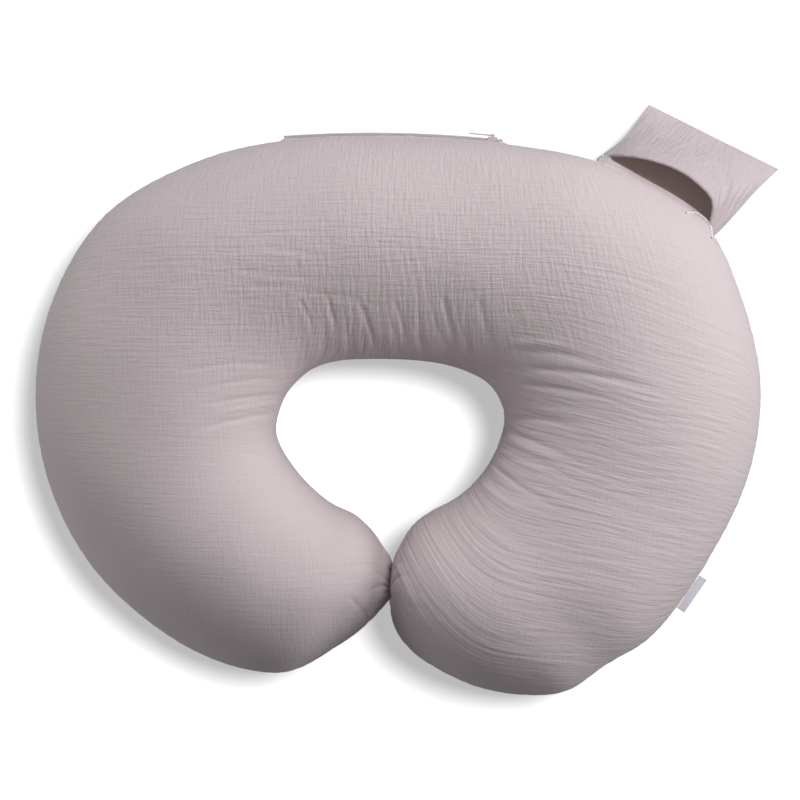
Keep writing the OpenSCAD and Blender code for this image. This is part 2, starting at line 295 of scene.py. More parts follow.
def grain(flat, right):
    """The cloth's coordinates along and across its grain, from its flat layout."""
    along = np.array([math.cos(GRAIN_TURN), math.sin(GRAIN_TURN)])
    x = (flat - GRAIN_CORNER) @ along
    y = (flat - GRAIN_CORNER) @ np.array([-along[1], along[0]])
    lean = np.maximum(BEND_START - x, 0) ** 2 / (2 * BEND_SPREAD)
    bent = y - lean * (1 - smooth(y, 30 * MM, 80 * MM))
    turned = np.dstack([x, bent]) + GRAIN_CORNER
    return flat + (turned - flat) * right[..., None]


# Single folds that can be told apart on the upper side: path in plan (mm), depth and half width (mm)
FOLDS = [
    ([(92, 27), (149, 20), (223, 4)], 1.5, 2.8), ([(80, -15), (112, -17), (153, -26)], 1.5, 2.8),
    ([(90, 14), (132, 7), (172, -2)], 1.2, 2.4), ([(86, 40), (130, 36), (180, 22)], 1.0, 2.4),
    ([(78, -22), (106, -36), (140, -48)], 1.0, 2.4), ([(70, -52), (96, -74), (130, -86)], 0.9, 2.4),
    ([(80, 46), (110, 46), (146, 40)], -1.0, 3.1), ([(80, -30), (102, -42), (134, -53)], -1.0, 3.1),
    ([(72, -41), (98, -54), (126, -64)], -1.0, 2.8), ([(62, -69), (84, -86), (116, -97)], -0.9, 2.8),
    ([(-88, 82), (-82, 70), (-77, 54)], 0.7, 2.1), ([(-66, 88), (-61, 68), (-57, 48)], 0.9, 2.1),
    ([(-38, 80), (-31, 58), (-24, 40)], 1.0, 2.4), ([(-10, 82), (-4, 60), (0, 42)], 0.8, 2.1),
    ([(28, 86), (35, 62), (42, 36)], 1.1, 2.4), ([(58, 84), (64, 60), (68, 40)], 1.0, 2.4),
    ([(-147, 105), (-110, 102), (-47, 95)], 0.6, 2.0), ([(-122, 124), (-85, 120), (-58, 113)], 0.6, 2.0),
    ([(-97, 87), (-50, 83), (-10, 74)], 0.6, 2.0), ([(-130, 92), (-96, 92), (-60, 88)], 0.4, 2.0),
    ([(-106, -11), (-140, -17), (-178, -27)], 1.0, 2.4), ([(-102, 5), (-140, 0), (-175, -6)], 0.7, 2.1),
    ([(-102, 17), (-140, 14), (-180, 6)], 0.6, 2.1), ([(-106, 28), (-150, 28), (-205, 18)], 0.5, 2.1),
    ([(-104, -3), (-135, -8), (-165, -15)], -0.6, 2.1), ([(-48, -160), (-36, -176), (-30, -196)], 0.6, 2.1),
]


def wrinkles(s, a, points, top):
    """Height of the muslin's folds and puckers, its grain coordinates and how it crinkles each way."""
    mid, across, width = spine(s)
    row = np.r_[0, np.cumsum(np.linalg.norm(np.diff(mid, axis=0), axis=1))][:, None]
    rim = run_along(points, 1)
    from_outer, from_inner = rim, rim[:, -1:] - rim
    from_seam = np.minimum(from_outer, from_inner)
    crown = rim[:, np.argmin(np.abs(np.abs(a) - math.pi / 2))][:, None]
    out = crown - rim
    plan = (width[:, None] * np.cos(a)[None])
    layout = np.where(out > 0, out, 0.35 * out + 0.65 * plan)
    flat = mid[:, None] + across[:, None] * layout[..., None]
    place = s[:, None] + np.zeros_like(rim)
    right = smooth(place, 13.5, 17.0)
    left = 1 - smooth(place, 6.5, 10.0)
    back = 1 - np.maximum(left, right)
    cloth = grain(flat, right)
    x, y = cloth[..., 0], cloth[..., 1]
    x = x + 0.006 * noise(x / 0.06, y / 0.06, 1)
    y = y + 0.005 * noise(x / 0.07, y / 0.045, 2)
    patch = smooth(noise(x / 0.08, y / 0.05, 4), -0.3, 0.5)
    # how near the opening a point lies in plan, but not on the wall below its edge
    inset = width[:, None] * (1 + np.cos(a)[None])
    inner = np.exp(-inset / 0.035) * smooth(from_inner, 0.01, 0.05)
    # long creases along the grain: all over the right arm, in bands elsewhere
    band = np.exp(-(((y - 0.105) / 0.03) ** 2)) + 0.5 * np.exp(-(((y - 0.02) / 0.05) ** 2)) * left
    nose = 1 + 0.8 * smooth(place, 21.0, 23.5)
    height = MM * right * nose * (0.28 + 0.42 * patch) * crease(y / 0.0075, x / 0.12, 5)
    height += MM * right * (0.12 + 0.2 * (1 - patch)) * crease(y / 0.0042, x / 0.07, 15)
    height += 0.5 * MM * (back + 0.5 * left) * np.minimum(band, 1) * patch * crease(y / 0.0085, x / 0.09, 6)
    # deeper folds that start at the opening's edge
    height += MM * inner * (2.3 * right + 0.8 * left) * crease(y / 0.0115, x / 0.12, 7)
    height += 2.6 * MM * back * inner * crease((x + 0.15 * y) / 0.010, y / 0.08, 8)
    if top:
        for path, depth, half_width in FOLDS:
            height += fold(points[..., :2], path, depth, half_width)
    # soft lumps of the filling
    height += 2.0 * MM * noise(x / 0.085, y / 0.085, 11) * smooth(from_seam, 0.0, 0.05)
    # each arm ends in puckers that run to its tip
    tip = np.exp(-np.minimum(row, row[-1] - row) / 0.02)
    height += 2.0 * MM * tip * crease(a[None, :] * 2.6 + 0 * row, row / 0.03, 12)
    # puckers along the seam and the seam's own groove
    outer_run = run_along(points, 0)[:, :1] + np.zeros_like(rim)
    near_seam = np.exp(-from_seam / 0.008)
    height += 0.5 * MM * near_seam * noise(outer_run / 0.006, from_seam / 0.03, 10) * (1 - near_seam**4)
    height -= 1.2 * MM * np.exp(-((from_seam / 0.003) ** 2))
    fade = smooth(width, 0, 0.012)[:, None]
    crinkle = np.dstack([1.4 * back + 0.55 * left + right, 1.5 * back + 0.5 * left + 0.4 * right, 0 * back])
    return height * fade * (1.0 if top else 0.7), cloth, crinkle


# Where the cloth stands out at the left arm's end: distance down from its middle, reach and width (mm)
TIP_MIDDLE = (-15, -148)
EARS = [(15, 3.2, 7.0), (-15, 3.4, 6.0), (0, 1.2, 10.0)]


def squared_tip(points):
    """The left arm's tip drawn out sideways into a blunt, scalloped corner at the height of the seam."""
    x, y = (points[..., k] / MM - TIP_MIDDLE[k] for k in range(2))
    reach = sum(out * np.exp(-(((y - middle) / width) ** 2)) for middle, out, width in EARS)
    scallop = 1 + 0.25 * np.sin(y * 2 * math.pi / 9)
    near_seam = np.exp(-(((points[..., 2] - SEAM_Z) / (24 * MM)) ** 2))
    points[..., 0] += MM * reach * scallop * near_seam * smooth(x, -18, 1)
    return points


def keep_on_floor(points, inset):
    """Flattens what would pass the floor, with a soft edge."""
    z = points[..., 2] - inset
    soft = 2 * MM
    points[..., 2] = inset + np.where(z > soft, z, np.where(z < -soft, 0, (z + soft) ** 2 / (4 * soft)))
    return points


def grid_piece(name, points, pattern, flip=False, closed=False, crinkle=None):
    """A smooth mesh over a grid of points. The cloth's grain coordinates become its UV map, and how
    strongly it crinkles along and across the grain an attribute."""
    rows, columns = points.shape[:2]
    quads = grid_faces(rows, columns, closed)
    if flip:
        quads = quads[:, ::-1]
    piece = new_mesh(name, points.reshape(-1, 3).tolist(), quads.tolist())
    mesh = piece.data
    if pattern is not None:
        layer = mesh.uv_layers.new(name="Pattern")
        corners = np.empty(len(mesh.loops), np.int32)
        mesh.loops.foreach_get("vertex_index", corners)
        uv = pattern.reshape(-1, 2)[corners] / PATTERN_UNIT
        layer.data.foreach_set("uv", uv.astype(np.float32).ravel())
        if crinkle is None:
            crinkle = np.broadcast_to([1.0, 1.0, 0.0], points.shape)
        weights = mesh.attributes.new("Crinkle", "FLOAT_VECTOR", "POINT")
        weights.data.foreach_set("vector", crinkle.astype(np.float32).ravel())
    mesh.shade_smooth()
    return piece


def weld(piece):
    """Closes a grid where its points meet, such as at an arm's tip."""
    b = bmesh.new()
    b.from_mesh(piece.data)
    bmesh.ops.remove_doubles(b, verts=b.verts, dist=1e-6)
    b.to_mesh(piece.data)
    b.free()


# ---------------------------------------------------------------- materials
def srgb(r, g, b):
    """A display colour from 0 to 255 as linear values."""
    shares = [v / 255 for v in (r, g, b)]
    linear = [v / 12.92 if v <= 0.04 else ((v + 0.055) / 1.055) ** 2.4 for v in shares]
    return (*linear, 1.0)


def material(name):
    """A new node material: itself, its nodes, its links and its shader."""
    made = bpy.data.materials.new(name)
    made.use_nodes = True
    nodes = made.node_tree.nodes
    return made, nodes, made.node_tree.links, nodes["Principled BSDF"]


def node(nodes, kind, settings=None, **values):
    """A shader node with its settings and with constants on its sockets; underscores stand for spaces."""
    made = nodes.new("ShaderNode" + kind)
    for key, value in (settings or {}).items():
        setattr(made, key, value)
    for key, value in values.items():
        made.inputs[key.replace("_", " ")].default_value = value
    return made


def blended(nodes, links, factor, first, second):
    """The output of a colour mix from first to second."""
    mix = node(nodes, "Mix", {"data_type": "RGBA"})
    mix.inputs[6].default_value = first
    mix.inputs[7].default_value = second
    links.new(factor, mix.inputs[0])
    return mix.outputs[2]


def added(nodes, links, *parts):
    """The weighted sum of (output, weight) pairs."""
    total = None
    for output, weight in parts:
        step = node(nodes, "Math", {"operation": "MULTIPLY_ADD"})
        links.new(output, step.inputs[0])
        step.inputs[1].default_value = weight
        if total is not None:
            links.new(total, step.inputs[2])
        total = step.outputs[0]
    return total


def stretched_noise(nodes, links, vector, scale, detail):
    """Noise whose features are 1 / scale long along each axis of the vector."""
    place = node(nodes, "Mapping", Scale=(*scale, 1.0))
    made = node(nodes, "TexNoise", Scale=1.0, Detail=detail, Roughness=0.55)
    links.new(vector, place.inputs["Vector"])
    links.new(place.outputs[0], made.inputs["Vector"])
    return made.outputs["Fac"]


def muslin(name, light, dark, crinkle):
    """Double-gauze cotton: mottled yarn, slubs both ways, a crinkled surface and an open weave."""
    made, nodes, links, shader = material(name)
    shader.inputs["Roughness"].default_value = 0.9
    shader.inputs["Sheen Weight"].default_value = 0.15
    shader.inputs["Sheen Roughness"].default_value = 0.5
    shader.inputs["Specular IOR Level"].default_value = 0.15
    pattern = node(nodes, "UVMap", {"uv_map": "Pattern"}).outputs[0]
    mottle = stretched_noise(nodes, links, pattern, (3.0, 3.0), 4.0)
    slub_x = stretched_noise(nodes, links, pattern, (6.0, 110.0), 2.0)
    slub_y = stretched_noise(nodes, links, pattern, (110.0, 6.0), 2.0)
    shade = added(nodes, links, (mottle, 0.5), (slub_x, 0.7), (slub_y, 0.7))
    spread = node(nodes, "MapRange", From_Min=0.7, From_Max=1.2)
    links.new(shade, spread.inputs["Value"])
    links.new(blended(nodes, links, spread.outputs[0], dark, light), shader.inputs["Base Color"])
    along = stretched_noise(nodes, links, pattern, (3.0, 38.0), 3.0)
    across = stretched_noise(nodes, links, pattern, (38.0, 5.0), 3.0)
    crimp = stretched_noise(nodes, links, pattern, (70.0, 70.0), 2.0)
    weights = node(nodes, "SeparateXYZ")
    links.new(node(nodes, "Attribute", {"attribute_name": "Crinkle"}).outputs["Vector"], weights.inputs[0])
    ridges = []
    for k, ridge in enumerate((along, across)):
        weighed = node(nodes, "Math", {"operation": "MULTIPLY"})
        links.new(ridge, weighed.inputs[0])
        links.new(weights.outputs[k], weighed.inputs[1])
        ridges.append((weighed.outputs[0], 1.0))
    threads = []
    for direction in "XY":
        wave = node(nodes, "TexWave", {"bands_direction": direction}, Scale=48.0, Distortion=1.5, Detail=1.0)
        links.new(pattern, wave.inputs["Vector"])
        threads.append((wave.outputs["Fac"], 0.04))
    height = added(nodes, links, *ridges, (crimp, 0.25), *threads)
    bump = node(nodes, "Bump", Strength=1.0, Distance=crinkle)
    links.new(height, bump.inputs["Height"])
    links.new(bump.outputs[0], shader.inputs["Normal"])
    return made


def lit_through(finish, glow):
    """Adds a faint glow that stands for light through the thin cloth. Its strength is given."""
    shader = finish.node_tree.nodes["Principled BSDF"]
    shader.inputs["Emission Color"].default_value = (1.0, 0.86, 0.8, 1.0)
    shader.inputs["Emission Strength"].default_value = glow


def moulded(name, colour, rough, grain=400.0, depth=0.00005):
    """A moulded or fibrous finish with fine grain, and faint wear in its gloss."""
    made, nodes, links, shader = material(name)
    shader.inputs["Base Color"].default_value = colour
    place = node(nodes, "TexCoord")
    speck = node(nodes, "TexNoise", Scale=grain, Detail=3.0)
    links.new(place.outputs["Object"], speck.inputs["Vector"])
    gloss = node(nodes, "MapRange", To_Min=rough - 0.08, To_Max=rough + 0.1)
    links.new(speck.outputs["Fac"], gloss.inputs["Value"])
    links.new(gloss.outputs[0], shader.inputs["Roughness"])
    bump = node(nodes, "Bump", Strength=0.3, Distance=depth)
    links.new(speck.outputs["Fac"], bump.inputs["Height"])
    links.new(bump.outputs[0], shader.inputs["Normal"])
    return made


def ribbed(name, colour, rough, across, along):
    """Woven tape or satin: fine ribs one way and finer ones the other, along the piece's own axes."""
    made, nodes, links, shader = material(name)
    shader.inputs["Roughness"].default_value = rough
    shader.inputs["Sheen Weight"].default_value = 0.3
    place = node(nodes, "TexCoord").outputs["Object"]
    mottle = node(nodes, "TexNoise", Scale=900.0, Detail=2.0)
    links.new(place, mottle.inputs["Vector"])
    worn = tuple(v * 0.88 for v in colour[:3]) + (1.0,)
    links.new(blended(nodes, links, mottle.outputs["Fac"], worn, colour), shader.inputs["Base Color"])
    ribs = []
    for direction, scale in (("X", across), ("Y", along)):
        wave = node(nodes, "TexWave", {"bands_direction": direction}, Scale=scale)
        links.new(place, wave.inputs["Vector"])
        ribs.append((wave.outputs["Fac"], 0.5))
    bump = node(nodes, "Bump", Strength=0.4, Distance=0.0002)
    links.new(added(nodes, links, *ribs), bump.inputs["Height"])
    links.new(bump.outputs[0], shader.inputs["Normal"])
    return made


MUSLIN = muslin("muslin", srgb(216, 203, 206), srgb(178, 164, 167), 0.0008)
# Painted shade: the pocket's muslin is a slightly darker copy of the pillow's, toning down the pocket's front
# where it slopes towards the soft boxes.
MUSLIN_POCKET_PAINTED_SHADE = muslin("muslin_pocket_painted_shade", srgb(207, 194, 198), srgb(171, 157, 161), 0.0008)
# Painted light: the pocket's inner face is a lighter, warmer copy of the muslin with a faint glow, standing
# for the light that reaches the shaded inside of the pocket.
MUSLIN_INNER_PAINTED_LIGHT = muslin("muslin_inner_painted_light", srgb(236, 216, 204), srgb(208, 188, 176), 0.0006)
lit_through(MUSLIN_INNER_PAINTED_LIGHT, 0.04)
COTTON = muslin("liner_cotton", srgb(240, 238, 234), srgb(222, 219, 214), 0.0002)
FIBRE = moulded("polyester_fibre", srgb(244, 243, 240), 0.85, grain=120.0, depth=0.002)
COIL_WHITE = moulded("zip_coil_white", srgb(246, 245, 250), 0.35)
COIL_DYED = moulded("zip_coil_dyed", srgb(205, 193, 196), 0.45)
TAPE = ribbed("zip_tape_weave", srgb(214, 202, 205), 0.7, 300.0, 500.0)
ENAMEL = moulded("zip_white_enamel", srgb(240, 238, 241), 0.3)
DYED = moulded("zip_dyed_enamel", srgb(208, 195, 199), 0.4)
SATIN = ribbed("label_satin", srgb(243, 239, 252), 0.45, 500.0, 900.0)

CAD_FINISHES = {
    "cover_zip_tape_upper": TAPE, "cover_zip_tape_lower": TAPE,
    "cover_zip_coil_upper": COIL_DYED, "cover_zip_coil_lower": COIL_DYED, "cover_zip_stops": COIL_DYED,
    "cover_zip_slider": DYED, "cover_zip_pull": DYED,
    "pocket_zip_stops": COIL_WHITE, "pocket_zip_slider": ENAMEL, "pocket_zip_pull": ENAMEL,
}
for cad_name, finish in CAD_FINISHES.items():
    frame["nodes"][cad_name].data.materials.clear()
    frame["nodes"][cad_name].data.materials.append(finish)


def dress(piece, finish):
    """Gives a new piece its material."""
    piece.data.materials.clear()
    piece.data.materials.append(finish)


# ---------------------------------------------------------------- the stuffed pillow
JOINTS = {joint["name"]: joint for joint in frame["joints"]}


def bend_with(piece):
    """Bakes the piece's placement into its mesh."""
    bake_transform(piece)


HALVES = {"left": (0, MIDDLE_S), "right": (MIDDLE_S, LAST_S)}
SIDES = {"top": 1, "bottom": -1}
# Rows in each half along the arms, and columns from seam to seam
COVER_GRID = {"top": (640, 150), "bottom": (300, 110)}
LINER_DEPTH = 6 * MM


def half_angles(side, count):
    """count + 1 angles from the outer seam over the crown, or under the belly, to the inner seam."""
    return side * np.linspace(0, math.pi, count + 1)


def cover():
    """The muslin cover: an upper and a lower panel, each made as a left and a right half. Returns the
    points of the upper panel's right half."""
    for panel, side in SIDES.items():
        rows, columns = COVER_GRID[panel]
        s = np.r_[even_places(0, MIDDLE_S, rows), even_places(MIDDLE_S, LAST_S, rows)[1:]]
        a = half_angles(side, columns)
        points = stuffed(s, a, 0)
        height, cloth, crinkle = wrinkles(s, a, points, side > 0)
        points = keep_on_floor(points + side * normals(points) * height[..., None], 0)
        points[:rows] = squared_tip(points[:rows])
        for half in HALVES:
            part = slice(0, rows + 1) if half == "left" else slice(rows, None)
            name = f"cover_{panel}_{half}"
            piece = grid_piece(name, points[part], cloth[part], side > 0, crinkle=crinkle[part])
            weld(piece)
            dress(piece, MUSLIN)
            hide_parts(f"cover_{panel}_panel")
            bend_with(piece)
        if side > 0:
            upper = points[rows:].reshape(-1, 3)
    return upper


def liner():
    """The cotton liner inside the cover, in the same four pieces."""
    for panel, side in SIDES.items():
        a = half_angles(side, 60)
        for half, (s0, s1) in HALVES.items():
            s = even_places(max(s0, 0.25), min(s1, LAST_S - 0.25), 90)
            points = keep_on_floor(stuffed(s, a, LINER_DEPTH), 1.5 * MM)
            piece = grid_piece(f"liner_{panel}_{half}", points, points[..., :2], side > 0)
            dress(piece, COTTON)
            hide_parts(f"liner_{panel}_panel")
            bend_with(piece)


def filling():
    """The loose fibre inside the liner, a left and a right half."""
    a = np.arange(60) * 2 * math.pi / 60
    for half, (s0, s1) in HALVES.items():
        s = even_places(max(s0, 0.4), min(s1, LAST_S - 0.4), 70)
        points = keep_on_floor(stuffed(s, a, LINER_DEPTH + 3 * MM), 3 * MM)
        piece = grid_piece(f"filling_{half}", points, None, flip=True, closed=True)
        dress(piece, FIBRE)
        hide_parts("fill_back", f"fill_{half}_arm")
        bend_with(piece)


COVER_SKIN = cover()
liner()
filling()


# ---------------------------------------------------------------- the cover's zip
BACK_CENTRE = np.array([-29, -791, 78]) * MM
BACK_R = 1008.5 * MM
ZIP_ENDS = (-4.0, 6.0)
# The welt's section (mm): how far it stands out from the back, and its height from the seam
WELT_PROFILE = np.array([
    (-3, 17), (-0.6, 13), (0.8, 9), (1.6, 6), (2.0, 4), (1.9, 3), (1.2, 2.4), (0.2, 2.4),
])


def cover_zip_welts():
    """Two rolled strips of the cover that lie over the zip's tapes and meet at its coil."""
    turn = np.radians(np.linspace(ZIP_ENDS[0] - 0.6, ZIP_ENDS[1] + 0.9, 260))
    ends = smooth(turn, turn[0], turn[14]) * (1 - smooth(turn, turn[-21], turn[-1]))
    for side, panel in ((1, "top"), (-1, "bottom")):
        stand, rise = WELT_PROFILE.T * MM
        wave = 0.15 * MM * noise(turn[:, None] * BACK_R / 0.007, rise / 0.004, 41 + side)
        out = BACK_R + stand * (0.3 + 0.7 * ends[:, None]) + wave - 3 * MM * (1 - ends[:, None])
        x = BACK_CENTRE[0] + out * np.sin(turn)[:, None]
        y = BACK_CENTRE[1] + out * np.cos(turn)[:, None]
        z = BACK_CENTRE[2] + side * rise + 0 * x
        pattern = np.dstack([turn[:, None] * BACK_R + 0 * x, rise + 0 * x])
        piece = grid_piece(f"cover_zip_welt_{panel}", np.dstack([x, y, z]), pattern, side > 0)
        dress(piece, MUSLIN)
        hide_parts(f"cover_{panel}_panel")
        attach(piece, "pillow")


cover_zip_welts()


# ---------------------------------------------------------------- the pocket
POCKET_ORIGIN = np.array([160, 202, 0]) * MM
POCKET_TURN = math.radians(-29.3)
ALONG = np.array([math.cos(POCKET_TURN), math.sin(POCKET_TURN), 0])
OUTWARD = np.array([-math.sin(POCKET_TURN), math.cos(POCKET_TURN), 0])
UP = np.array([0, 0, 1])


def beside_pocket(points):
    """Points given in mm along the pocket's seam, outwards from it and up, in the shared frame."""
    points = np.asarray(points) * MM
    return POCKET_ORIGIN + points[..., :1] * ALONG + points[..., 1:2] * OUTWARD + points[..., 2:3] * UP


# The pocket's outline in plan, in mm along the seam and outwards from it
MOUTH_EDGE = [
    (-1, -3), (7, 5), (21, 12), (35, 17), (52, 20.5), (71, 21.4),
    (86, 19), (96, 15.5), (103, 9), (108, -3), (113.5, -15.5),
]
SEAM_EDGE = [(-1, -3), (11, -1.5), (55, -0.5), (95, -2.5), (106, -7), (113.5, -15.5)]
LEFT_SIDE = [(-1, -3), (3, 6), (9.5, 21.5), (13.5, 39), (16, 63)]
RIGHT_SIDE = [(113.5, -15.5), (118, -5), (125, 22), (129.5, 41), (138.5, 69)]
FAR_SIDE = [LEFT_SIDE[-1], RIGHT_SIDE[-1]]
# Heights (mm): the seam, the far edge, the mouth's lift, the drop at its left end under the zip's pull,
# and how far the back panel lies below the front one
POCKET_TOP = 77.5
POCKET_LOW = 2.5
MOUTH_LIFT = 20
CORNER_DROP = 1.8
PANEL_GAP = 1.3


def coons(near, u, v):
    """A patch in plan between the near edge, the two sides and the far edge."""
    n, f = curve_through(near, u)[:, None], curve_through(FAR_SIDE, u)[:, None]
    l, r = curve_through(LEFT_SIDE, v)[None], curve_through(RIGHT_SIDE, v)[None]
    u, v = u[:, None, None], v[None, :, None]
    corners = (1 - u) * (1 - v) * n[0] + u * (1 - v) * n[-1] + (1 - u) * v * f[0] + u * v * f[-1]
    return (1 - v) * n + v * f + (1 - u) * l + u * r - corners


def hang(v):
    """Height of the pocket's side seams from the pillow's seam down to the floor."""
    return POCKET_LOW + (POCKET_TOP - POCKET_LOW) * (1 - v) ** 1.15


def pocket_sheet(near, u, v, lift, puff):
    """A pocket panel as a grid of points in mm, lifted at its near edge and puffed in its middle."""
    xy = coons(near, u, v)
    arch = np.sin(math.pi * u)[:, None]
    z = hang(v)[None] + lift * arch**0.7 * smooth(u, 0.03, 0.17)[:, None] * (1 - v)[None] ** 1.3
    z = z - CORNER_DROP * (1 - smooth(u, 0, 0.14))[:, None] * (1 - v)[None] ** 3
    z = z + puff * (arch * np.sin(math.pi * np.minimum(v + 0.12, 1))) ** 0.5
    return np.dstack([xy, z])


def pocket_normals(points):
    """Outward unit normals of a pocket panel's grid."""
    n = np.cross(np.gradient(points, axis=0), np.gradient(points, axis=1))
    return n / np.maximum(np.linalg.norm(n, axis=2, keepdims=True), 1e-9)


def hang_from_seam(piece):
    """Bakes the piece's placement into its mesh."""
    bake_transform(piece)


def pocket_front():
    """The front panel, its mouth turned in as a soft hem, with puckers that fan from the mouth's right
    end."""
    u = np.linspace(0, 1, 190)
    v = np.linspace(0, 1, 130) ** 1.1
    points = pocket_sheet(MOUTH_EDGE, u, v, MOUTH_LIFT, 3.0)
    out = pocket_normals(points)
    run_u = points[..., 0]
    run_v = np.cumsum(np.pad(np.linalg.norm(np.diff(points, axis=1), axis=2), ((0, 0), (1, 0))), axis=1)
    fan_x, fan_y = 113 - points[..., 0], points[..., 1] + 15
    reach, turn = np.hypot(fan_x, fan_y), np.arctan2(fan_y, fan_x)
    fan = crease(turn * 7.5, reach / 60, 31) * np.exp(-(((reach - 42) / 26) ** 2)) * smooth(turn, 0.9, 1.3)
    grid = 0.5 * crease(run_u / 4.2, run_v / 40, 32) + crease(run_u / 45, run_v / 4.2, 33)
    wave = noise(run_u / 30, run_v / 30, 34)
    edge = smooth(np.minimum(u, 1 - u), 0, 0.05)[:, None] * smooth(1 - v, 0, 0.05)[None]
    height = (2.8 * fan + 0.45 * grid + 1.2 * wave * smooth(run_v, 2, 14)) * edge
    points = points + out * height[..., None]
    rim, across = points[:, :1], points[:, :1] - points[:, 1:2]
    across /= np.maximum(np.linalg.norm(across, axis=2, keepdims=True), 1e-9)
    roll, turned = 1.3, []
    for k in np.linspace(0.4, 2.8, 7):
        turned.append(rim + roll * (across * math.sin(k) + out[:, :1] * (math.cos(k) - 1)))
    back = turned[-1]
    hem = [back - across * d for d in (1.5, 3, 5, 8)]
    whole = np.concatenate(hem[::-1] + turned[::-1] + [points], axis=1)
    ones = np.ones_like(whole[..., 0])
    pattern = np.dstack([run_u[:, :1] * ones, np.cumsum(ones, axis=1) * 0.8]) * MM
    crinkle = np.broadcast_to([1.6, 1.6, 0.0], whole.shape)
    piece = grid_piece("pocket_front", beside_pocket(whole), pattern, crinkle=crinkle)
    dress(piece, MUSLIN_POCKET_PAINTED_SHADE)
    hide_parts("pocket_front_panel", "pocket_mouth_binding")
    hang_from_seam(piece)


def pocket_back():
    """The back panel, from the pillow's seam down to the far edge; its inner face shows in the mouth."""
    u = np.linspace(0.01, 0.99, 90)
    v = np.linspace(0, 0.976, 60)
    points = pocket_sheet(SEAM_EDGE, u, v, 0, -2.0)
    sag = noise(points[..., 0] / 22, points[..., 1] / 30, 35) * np.sin(math.pi * u)[:, None]
    points[..., 2] += 0.8 * sag - PANEL_GAP
    piece = grid_piece("pocket_back", beside_pocket(points), points[..., :2] * MM)
    dress(piece, MUSLIN_INNER_PAINTED_LIGHT)
    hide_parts("pocket_back_panel")
    hang_from_seam(piece)


def tube(name, path, radius, sides=12, ribs=0, rib_depth=0.0):
    """A round strand along a path of points, ribbed like a nylon coil if ribs are given."""
    path = np.asarray(path, float)
    along = np.gradient(path, axis=0)
    along /= np.linalg.norm(along, axis=1, keepdims=True)
    side = np.cross(along, UP)
    side /= np.linalg.norm(side, axis=1, keepdims=True)
    top = np.cross(side, along)
    turn = np.linspace(0, 2 * math.pi, sides, endpoint=False)
    swell = radius + rib_depth * np.sin(np.linspace(0, ribs * 2 * math.pi, len(path)))
    ring = side[:, None] * np.cos(turn)[None, :, None] + top[:, None] * np.sin(turn)[None, :, None]
    return grid_piece(name, path[:, None] + ring * swell[:, None, None], None, closed=True)


# The flap, the coil and the gusset, in mm beside the pocket's seam
SEAM_LINE = [(1, -2.2), (20, -0.4), (55, -0.5), (80, -1.2), (95, -2.5)]
COIL_CURL = [(85, -8), (89, -4.6), (94, -2.4), (102.5, -3.5), (109, -7), (112.5, -12), (113, -15.6)]
GUSSET_CHORD = [(85, -8), (99, -11), (113, -15.6)]
UNDER_FLAP = [(3, -0.6, 78), (12, 0.9, 79), (30, 1.1, 79), (42, 0.2, 77.5), (84, -1.2, 77)]


def on_cover(flat, above):
    """The points (mm, in plan beside the pocket) set above the cover's upper panel."""
    world = beside_pocket(np.dstack([flat, 0 * flat[..., :1]]))
    low, high = world.min((0, 1)) - 8 * MM, world.max((0, 1)) + 8 * MM
    near = COVER_SKIN[np.all((COVER_SKIN[:, :2] > low[:2]) & (COVER_SKIN[:, :2] < high[:2]), axis=1)]
    away = np.linalg.norm(world[:, :, None, :2] - near[None, None, :, :2], axis=3)
    weight = np.exp(-(((away - away.min(2, keepdims=True)) / (1.2 * MM)) ** 2))
    world[..., 2] = (weight * near[:, 2]).sum(2) / weight.sum(2) + above
    return world


def pocket_flap():
    """A narrow tuck of the cover along the pocket's seam that hides the zip's tape."""
    u = np.linspace(0, 1, 120)
    line = curve_through(SEAM_LINE, u)[:, None]
    lens = np.exp(-(((line[..., 0] - 68) / 20) ** 2))
    reach = np.array([-5, -4, -3, -2, -1, 0, 1, 1.5, 1.3, 0.6])
    above = MM * np.array([-0.6, 0.2, 0.5, 0.7, 0.9, 0.9, 0.9, 0.3, -0.8, -1.4])
    swing = reach * (1 + 0.5 * lens)
    flat = np.dstack([line[..., 0] + 0 * swing, line[..., 1] + swing])
    middle = (smooth(u, 0, 0.08) * smooth(1 - u, 0, 0.2))[:, None]
    above = above * middle - 0.8 * MM * (1 - middle)
    piece = grid_piece("pocket_seam_flap", on_cover(flat, above), flat * MM)
    dress(piece, MUSLIN)
    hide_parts("cover_top_panel")
    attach(piece, "pillow")


def pocket_gusset():
    """A small gusset at the mouth's right end, edged by the zip's coil."""
    u, v = np.linspace(0, 1, 60), np.linspace(0, 1, 24)[None, :, None]
    flat = (1 - v) * curve_through(GUSSET_CHORD, u)[:, None] + v * curve_through(COIL_CURL, u)[:, None]
    dome = np.sin(math.pi * u)[:, None] * np.sin(math.pi * v[..., 0] * 0.9)
    piece = grid_piece("pocket_gusset", on_cover(flat, (1.4 * v[..., 0] - 0.6 + 1.8 * dome) * MM), flat * MM)
    dress(piece, MUSLIN)
    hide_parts("cover_top_panel")
    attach(piece, "pillow")


def seam_coil_path():
    """The coil runs under the flap and comes out round the gusset."""
    under = beside_pocket(curve_through(UNDER_FLAP, np.linspace(0, 1, 400)))
    curl = on_cover(curve_through(COIL_CURL, np.linspace(0, 1, 260))[:, None], 1.3 * MM)[:, 0]
    return under, curl


